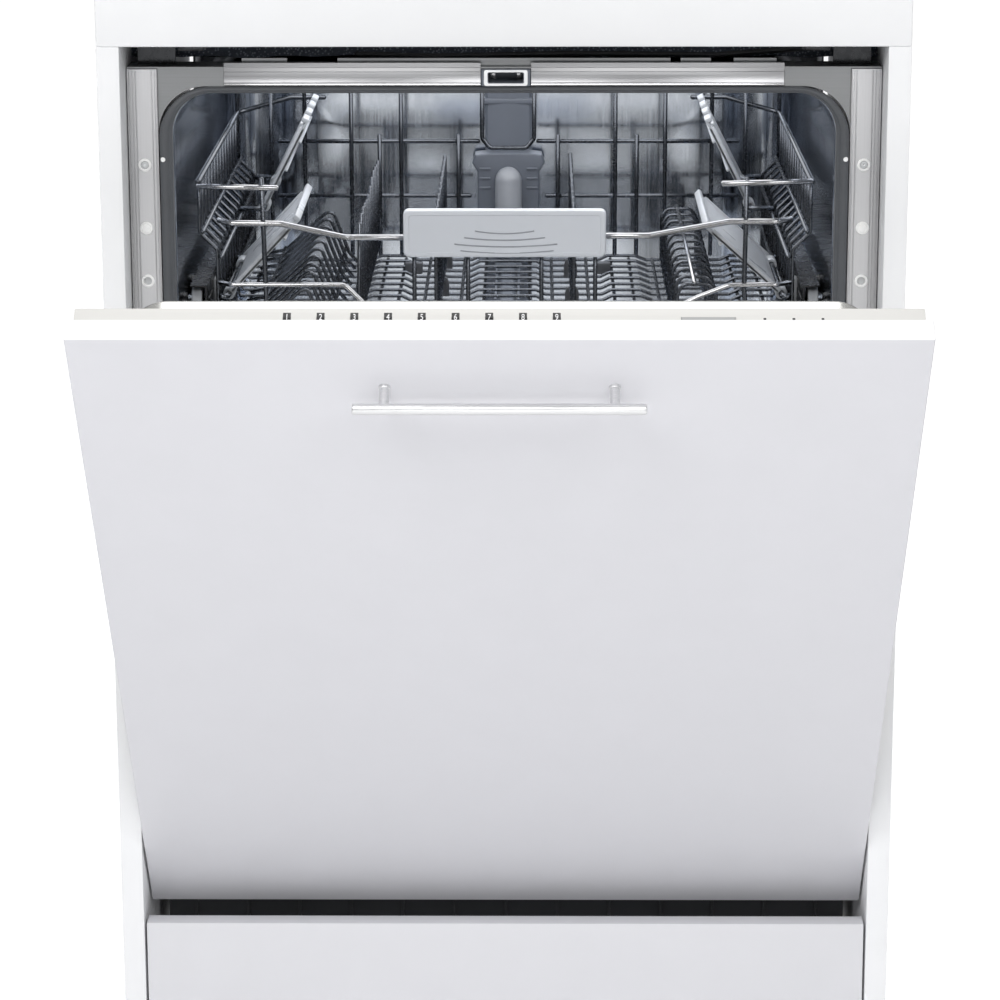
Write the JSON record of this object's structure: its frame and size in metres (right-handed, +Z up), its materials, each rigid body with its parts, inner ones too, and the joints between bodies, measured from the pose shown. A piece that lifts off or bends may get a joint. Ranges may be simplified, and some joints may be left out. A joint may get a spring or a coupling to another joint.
{
  "type": "built in dishwasher",
  "caption": "Built in dishwasher in its cabinet niche, with a furniture-fronted door ajar, pull-out wire racks, spray arms, pumps and a bar handle.",
  "frame": {"origin": "middle of the plinth panel's lower front edge, on the floor", "axes": "+X to the right as seen from the front, +Y into the cabinet, +Z up"},
  "size_m": [0.636, 0.9853, 0.8596],
  "materials": {
    "white_board": "smooth white melamine, satin",
    "panel_front": "smooth lacquered board, satin lavender grey",
    "tub_steel": "bright drawn stainless sheet",
    "frame_steel": "brushed zinc plated sheet",
    "dark_steel": "grey painted sheet",
    "trim_aluminium": "long brushed satin",
    "gasket_rubber": "matt soft rubber",
    "dark_plastic": "moulded dark plastic",
    "white_plastic": "moulded white plastic",
    "bitumen": "speckled bitumen felt",
    "duct_plastic": "moulded blue grey polypropylene",
    "rack_plastic": "moulded light grey polypropylene",
    "handle_plastic": "satin silver grey plastic",
    "rack_wire": "dark coated wire",
    "rail_steel": "bright rolled steel",
    "pump_plastic": "moulded grey plastic",
    "liner_steel": "bright drawn stainless sheet",
    "strip_plastic": "warm light grey plastic",
    "handle_steel": "satin brushed",
    "screw_steel": "bright zinc",
    "window_black": "black gloss lens with white numerals"
  },
  "bodies": {
    "cabinet": {"worktop": "white_board", "side_panel_left": "white_board", "side_panel_right": "white_board", "plinth_panel": "panel_front", "tub": "tub_steel", "frame_strips": "frame_steel", "top_crosspiece": "dark_steel", "top_trim": "trim_aluminium", "door_gasket": "gasket_rubber", "latch_housing": "dark_plastic", "frame_screws": "screw_steel", "hole_caps": "white_plastic", "worktop_brackets": "frame_steel", "sound_blanket": "bitumen", "base_tray": "dark_plastic", "rear_frame": "frame_steel", "feet": "dark_plastic", "sump": "pump_plastic", "filter_plate": "tub_steel", "wash_pump": "pump_plastic", "drain_pump": "pump_plastic", "inlet_valve": "white_plastic", "power_box": "dark_plastic", "feed_duct": "duct_plastic"},
    "filter_cup": {"filter_cup": "pump_plastic"},
    "salt_cap": {"salt_cap": "white_plastic"},
    "lower_arm": {"lower_arm": "duct_plastic"},
    "roller_front_left": {"roller_front_left": "rack_plastic"},
    "roller_front_right": {"roller_front_right": "rack_plastic"},
    "roller_rear_left": {"roller_rear_left": "rack_plastic"},
    "roller_rear_right": {"roller_rear_right": "rack_plastic"},
    "upper_rack": {"upper_basket": "rack_wire", "upper_rails": "rail_steel", "upper_feed": "duct_plastic", "upper_handle": "handle_plastic"},
    "upper_arm": {"upper_arm": "duct_plastic"},
    "shelf_front_left": {"shelf_front_left": "rack_plastic"},
    "shelf_front_right": {"shelf_front_right": "rack_plastic"},
    "shelf_rear_left": {"shelf_rear_left": "rack_plastic"},
    "shelf_rear_right": {"shelf_rear_right": "rack_plastic"},
    "fold_tines_left": {"fold_tines_left": "rack_wire"},
    "fold_tines_right": {"fold_tines_right": "rack_wire"},
    "lower_rack": {"lower_basket": "rack_wire", "cutlery_basket": "rack_plastic"},
    "wheel_front_left": {"wheel_front_left": "rack_plastic"},
    "wheel_front_right": {"wheel_front_right": "rack_plastic"},
    "wheel_rear_left": {"wheel_rear_left": "rack_plastic"},
    "wheel_rear_right": {"wheel_rear_right": "rack_plastic"},
    "door": {"furniture_panel": "panel_front", "door_shell": "dark_steel", "door_liner": "liner_steel", "control_strip": "strip_plastic", "door_handle": "handle_steel", "hinge_arms": "rail_steel", "latch_hook": "rail_steel", "display_windows": "window_black", "dispenser_body": "rack_plastic"},
    "power_key": {"power_key": "pump_plastic"},
    "dispenser_lid": {"dispenser_lid": "white_plastic"},
    "rinse_cap": {"rinse_cap": "white_plastic"}
  },
  "joints": [
    {"name": "door_hinge", "type": "hinge", "parent": "cabinet", "child": "door", "pos_m": [0, 0.0313, 0.168], "axis": [1, 0, 0], "range_deg": [-37, 53]},
    {"name": "upper_rack_slide", "type": "slide", "parent": "cabinet", "child": "upper_rack", "axis": [0, -1, 0], "range_m": [0, 0.26]},
    {"name": "lower_rack_slide", "type": "slide", "parent": "cabinet", "child": "lower_rack", "axis": [0, -1, 0], "range_m": [0, 0.05]},
    {"name": "lower_arm_spin", "type": "hinge", "parent": "cabinet", "child": "lower_arm", "pos_m": [0, 0.3, 0.206], "axis": [0, 0, 1], "continuous": true},
    {"name": "upper_arm_spin", "type": "hinge", "parent": "upper_rack", "child": "upper_arm", "pos_m": [0, 0.285, 0.53], "axis": [0, 0, 1], "continuous": true},
    {"name": "shelf_front_left_fold", "type": "hinge", "parent": "upper_rack", "child": "shelf_front_left", "pos_m": [-0.228, 0.187, 0.604], "axis": [0, -1, 0], "range_deg": [-32, 40]},
    {"name": "shelf_front_right_fold", "type": "hinge", "parent": "upper_rack", "child": "shelf_front_right", "pos_m": [0.228, 0.187, 0.604], "axis": [0, 1, 0], "range_deg": [-27, 45]},
    {"name": "shelf_rear_left_fold", "type": "hinge", "parent": "upper_rack", "child": "shelf_rear_left", "pos_m": [-0.214, 0.4, 0.64], "axis": [0, -1, 0], "range_deg": [-48, 24]},
    {"name": "shelf_rear_right_fold", "type": "hinge", "parent": "upper_rack", "child": "shelf_rear_right", "pos_m": [0.214, 0.4, 0.64], "axis": [0, 1, 0], "range_deg": [-48, 24]},
    {"name": "fold_tines_left_fold", "type": "hinge", "parent": "upper_rack", "child": "fold_tines_left", "pos_m": [-0.057, 0.29, 0.574], "axis": [0, 1, 0], "range_deg": [0, 80]},
    {"name": "fold_tines_right_fold", "type": "hinge", "parent": "upper_rack", "child": "fold_tines_right", "pos_m": [0.057, 0.29, 0.574], "axis": [0, -1, 0], "range_deg": [0, 80]},
    {"name": "filter_cup_turn", "type": "hinge", "parent": "cabinet", "child": "filter_cup", "pos_m": [0.04, 0.268, 0.15], "axis": [0, 0, 1], "range_deg": [0, 90]},
    {"name": "salt_cap_turn", "type": "hinge", "parent": "cabinet", "child": "salt_cap", "pos_m": [-0.14, 0.2, 0.184], "axis": [0, 0, 1], "continuous": true},
    {"name": "dispenser_lid_flip", "type": "hinge", "parent": "door", "child": "dispenser_lid", "pos_m": [-0.048, -0.16263, 0.4983], "axis": [1, 0, 0], "range_deg": [0, 88]},
    {"name": "rinse_cap_turn", "type": "hinge", "parent": "door", "child": "rinse_cap", "pos_m": [0.04, -0.1336, 0.45945], "axis": [0, 0.7986, 0.6018], "range_deg": [0, 90]},
    {"name": "power_key_press", "type": "slide", "parent": "door", "child": "power_key", "axis": [0, 0.6018, -0.7986], "range_m": [0, 0.001], "stiffness_N_per_m": 400},
    {"name": "roller_front_left_roll", "type": "hinge", "parent": "cabinet", "child": "roller_front_left", "pos_m": [-0.2518, 0.094, 0.6], "axis": [1, 0, 0], "continuous": true},
    {"name": "roller_rear_left_roll", "type": "hinge", "parent": "cabinet", "child": "roller_rear_left", "pos_m": [-0.2518, 0.17, 0.6], "axis": [1, 0, 0], "continuous": true},
    {"name": "wheel_front_left_roll", "type": "hinge", "parent": "lower_rack", "child": "wheel_front_left", "pos_m": [-0.242, 0.146, 0.2293], "axis": [1, 0, 0], "continuous": true},
    {"name": "wheel_rear_left_roll", "type": "hinge", "parent": "lower_rack", "child": "wheel_rear_left", "pos_m": [-0.242, 0.468, 0.2293], "axis": [1, 0, 0], "continuous": true},
    {"name": "roller_front_right_roll", "type": "hinge", "parent": "cabinet", "child": "roller_front_right", "pos_m": [0.2518, 0.094, 0.6], "axis": [1, 0, 0], "continuous": true},
    {"name": "roller_rear_right_roll", "type": "hinge", "parent": "cabinet", "child": "roller_rear_right", "pos_m": [0.2518, 0.17, 0.6], "axis": [1, 0, 0], "continuous": true},
    {"name": "wheel_front_right_roll", "type": "hinge", "parent": "lower_rack", "child": "wheel_front_right", "pos_m": [0.242, 0.146, 0.2293], "axis": [1, 0, 0], "continuous": true},
    {"name": "wheel_rear_right_roll", "type": "hinge", "parent": "lower_rack", "child": "wheel_rear_right", "pos_m": [0.242, 0.468, 0.2293], "axis": [1, 0, 0], "continuous": true}
  ],
  "couplings": [
    {"joint": "roller_front_left_roll", "follows": "upper_rack_slide", "rad_per_m": 71.429},
    {"joint": "roller_rear_left_roll", "follows": "upper_rack_slide", "rad_per_m": 71.429},
    {"joint": "wheel_front_left_roll", "follows": "lower_rack_slide", "rad_per_m": 58.824},
    {"joint": "wheel_rear_left_roll", "follows": "lower_rack_slide", "rad_per_m": 58.824},
    {"joint": "roller_front_right_roll", "follows": "upper_rack_slide", "rad_per_m": 71.429},
    {"joint": "roller_rear_right_roll", "follows": "upper_rack_slide", "rad_per_m": 71.429},
    {"joint": "wheel_front_right_roll", "follows": "lower_rack_slide", "rad_per_m": 58.824},
    {"joint": "wheel_rear_right_roll", "follows": "lower_rack_slide", "rad_per_m": 58.824}
  ]
}
